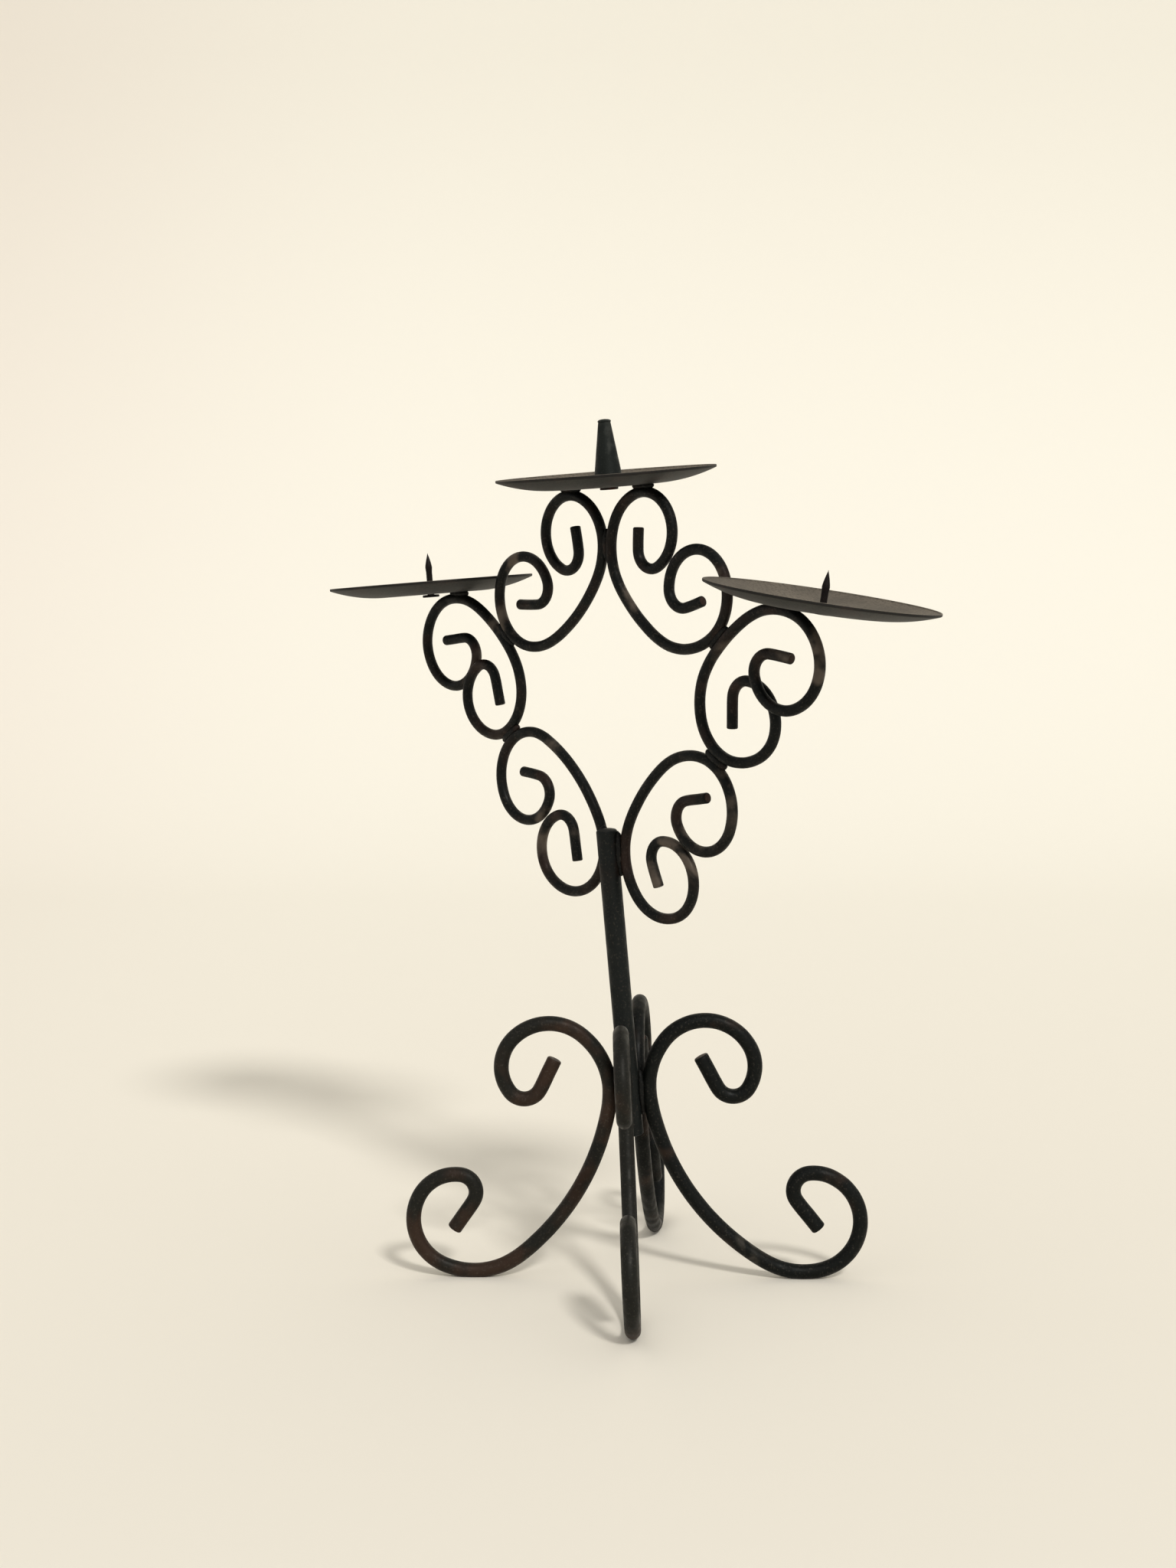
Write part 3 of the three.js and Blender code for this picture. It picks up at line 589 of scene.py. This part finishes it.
pan_inside = pan_metal("pan inside", PAN_GREY, PAN_DARK, PAN_BROWN, 0.0)
pan_underside = pan_metal("pan underside", UNDER_GREY, UNDER_DARK, UNDER_BROWN, 0.12)
# The rim material paints shade on the outside of the upright rim.
pan_rim_painted_shade = pan_metal("pan rim painted shade", RIM_PAINTED_SHADE, UNDER_DARK, UNDER_BROWN, 0.1)
facings = {}
for side in ("left", "top", "right"):
    radius, height = PAN_FLOOR_DIAMETER / 2, -PAN_DEPTH
    pan = disc(f"pan_dish_{side}", radius, PAN_SIDES)
    bpy.ops.transform.translate(value=(0, 0, height))
    bpy.ops.mesh.inset(thickness=PAN_FLOOR_EDGE)
    pick(pan, edges=lambda edge: edge.is_boundary)
    for next_radius, next_height in wall_stations():
        draw_up(next_height - height, next_radius / radius)
        radius, height = next_radius, next_height
    bpy.ops.mesh.select_all(action="SELECT")
    bpy.ops.mesh.normals_make_consistent(inside=False)
    if pick(pan, faces=lambda face: face.normal.z > FACES_UP):
        bpy.ops.mesh.select_all(action="SELECT")
        bpy.ops.mesh.flip_normals()
    leave_edit()
    sheet = pan.modifiers.new("sheet", "SOLIDIFY")
    sheet.thickness = PAN_SHEET
    sheet.offset = -1
    sheet.use_even_offset = True
    lip = pan.modifiers.new("lip", "BEVEL")
    lip.width = RIM_ROUND
    lip.segments = RIM_STEPS
    lip.limit_method = "ANGLE"
    lip.angle_limit = RIM_FOLD
    choose(pan)
    for modifier in ("sheet", "lip"):
        bpy.ops.object.modifier_apply(modifier=modifier)
    for material in (pan_inside, pan_underside, pan_rim_painted_shade):
        pan.data.materials.append(material)
    for face in pan.data.polygons:
        finish = pan_rim_painted_shade if is_rim(face) else pan_inside if face.normal.z > 0 else pan_underside
        face.material_index = pan.data.materials.find(finish.name)
    middle, facings[side] = pan_seat(side)
    settle(pan, middle, facings[side])
    smooth(pan, PAN_SMOOTH_UP_TO)
    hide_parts(f"pan_{side}")
    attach(pan, "root")

# ---- Spikes ----
# Clout nails driven up through the pans from below, with the flat head under the floor and
# a drawn point that is a little fuller than the shank. They have rusted to a dark red-brown.

NAIL_DIAMETER = 0.0034
NAIL_HEAD_DIAMETER = 0.0095
NAIL_HEAD_THICKNESS = 0.0014
NAIL_HEAD_EDGE = 0.0003
NAIL_NECK = ((1.15, 0.0001), (1.0, 0.0008))
NAIL_POINT_LENGTH = 0.008
NAIL_POINT_STATIONS = (0, 0.12, 0.25, 0.4, 0.55, 0.7, 0.82, 0.92, 1)
NAIL_POINT_CURVE = 1.35
NAIL_SHOULDER = 0.00025
NAIL_SHOULDER_LENGTH = 0.0025
NAIL_TIP_RADIUS = 0.0001
NAIL_SIDES = 32
NAIL_BLACK = (0.0080, 0.0058, 0.0050, 1)
NAIL_RED = (0.050, 0.018, 0.012, 1)
NAIL_WORN = (0.085, 0.050, 0.036, 1)


def nail_stations(length):
    """The outline of a nail as (radius, height), from under its head to its tip."""
    head = NAIL_HEAD_DIAMETER / 2
    shank = NAIL_DIAMETER / 2
    shoulder = shank + NAIL_SHOULDER
    root = length - NAIL_POINT_LENGTH
    stations = [
        (head - NAIL_HEAD_EDGE, 0),
        (head, NAIL_HEAD_EDGE),
        (head, NAIL_HEAD_THICKNESS - NAIL_HEAD_EDGE),
        (head - NAIL_HEAD_EDGE, NAIL_HEAD_THICKNESS),
    ]
    for ratio, rise in NAIL_NECK:
        stations.append((shank * ratio, NAIL_HEAD_THICKNESS + rise))
    stations.append((shank, root - NAIL_SHOULDER_LENGTH))
    for share in NAIL_POINT_STATIONS:
        radius = max(shoulder * (1 - share**NAIL_POINT_CURVE), NAIL_TIP_RADIUS)
        stations.append((radius, root + NAIL_POINT_LENGTH * share))
    return stations


nail_iron = iron(
    "nail iron", (NAIL_BLACK, NAIL_RED, NAIL_WORN), wear_and_highlight_share=0.08, scale=2.5, dullness=(0.4, 0.6), bump=0.35
)
tips = {}
for side, facing in facings.items():
    corners = points_of(f"nail_{side}")
    tips[side] = max(corners, key=lambda point: point.z)
    length = max((tips[side] - point).dot(facing) for point in corners)
    nail = turn_up(f"spike_{side}", nail_stations(length), NAIL_SIDES)
    settle(nail, tips[side] - facing * length, facing)
    smooth(nail)
    nail.data.materials.append(nail_iron)
    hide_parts(f"nail_{side}")
    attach(nail, "root")

# ---- Sleeve ----
# A tapered sleeve of sheet, rolled and closed with a small domed cap. It stands on the top
# pan over the nail, and a large candle is pushed down on it.

SLEEVE_FOOT_DIAMETER = 0.0154
SLEEVE_TOP_DIAMETER = 0.0064
SLEEVE_FOOT_BEVEL_WIDTH = 0.0003
SLEEVE_FOOT_BEVEL_HEIGHT = 0.0004
SLEEVE_CAP_DIAMETER = 0.0069
SLEEVE_CAP_HEIGHT = 0.0016
SLEEVE_CAP_OUTLINE = ((1, 0.0002), (1, 0.0006), (0.86, 0.0011), (0.6, 0.0014), (0.1, SLEEVE_CAP_HEIGHT))
SLEEVE_SIDES = 48
SLEEVE_BLACK = (0.0115, 0.0145, 0.0125, 1)
SLEEVE_WORN = (0.050, 0.053, 0.047, 1)

facing = facings["top"]
rises = [(point - tips["top"]).dot(facing) for point in points_of("centre_sleeve")]
foot = min(rises)
brim = max(rises) - foot - SLEEVE_CAP_HEIGHT
stations = [
    (SLEEVE_FOOT_DIAMETER / 2 - SLEEVE_FOOT_BEVEL_WIDTH, 0),
    (SLEEVE_FOOT_DIAMETER / 2, SLEEVE_FOOT_BEVEL_HEIGHT),
    (SLEEVE_TOP_DIAMETER / 2, brim),
]
for share, rise in SLEEVE_CAP_OUTLINE:
    stations.append((SLEEVE_CAP_DIAMETER / 2 * share, brim + rise))
sleeve = turn_up("pricket_sleeve", stations, SLEEVE_SIDES)
settle(sleeve, tips["top"] + facing * foot, facing)
smooth(sleeve)
sleeve_tones = (SLEEVE_BLACK, BAR_BROWN, SLEEVE_WORN)
sleeve.data.materials.append(iron("sleeve iron", sleeve_tones, wear_and_highlight_share=0.15, rust_share=-0.1, scale=1.4))
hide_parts("centre_sleeve")
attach(sleeve, "root")

# ---- Light ----
# One soft lamp high on the right, in front of the stand, throws the pans' shadows back to the
# left. The room around it is bright and even.

LAMP_HEIGHT = radians(42)
LAMP_RIGHT = radians(25)
LAMP_SOFTNESS = radians(9)
LAMP_STRENGTH = 1.6
LAMP_COLOUR = (1.0, 0.97, 0.93)
ROOM_STRENGTH = 0.62
ROOM_COLOUR = (1.0, 0.98, 0.95, 1)

lamp_data = bpy.data.lights.new("lamp", "SUN")
lamp_data.energy = LAMP_STRENGTH
lamp_data.angle = LAMP_SOFTNESS
lamp_data.color = LAMP_COLOUR
lamp = bpy.data.objects.new("lamp", lamp_data)
along_table = cos(LAMP_HEIGHT)
towards = Vector((sin(LAMP_RIGHT) * along_table, -cos(LAMP_RIGHT) * along_table, sin(LAMP_HEIGHT)))
lamp.rotation_euler = towards.to_track_quat("Z", "Y").to_euler()
bpy.context.scene.collection.objects.link(lamp)

world = bpy.data.worlds.new("room")
bpy.context.scene.world = world
world.use_nodes = True
background = world.node_tree.nodes["Background"]
background.inputs["Color"].default_value = ROOM_COLOUR
background.inputs["Strength"].default_value = ROOM_STRENGTH

bpy.context.scene.view_settings.view_transform = "Standard"
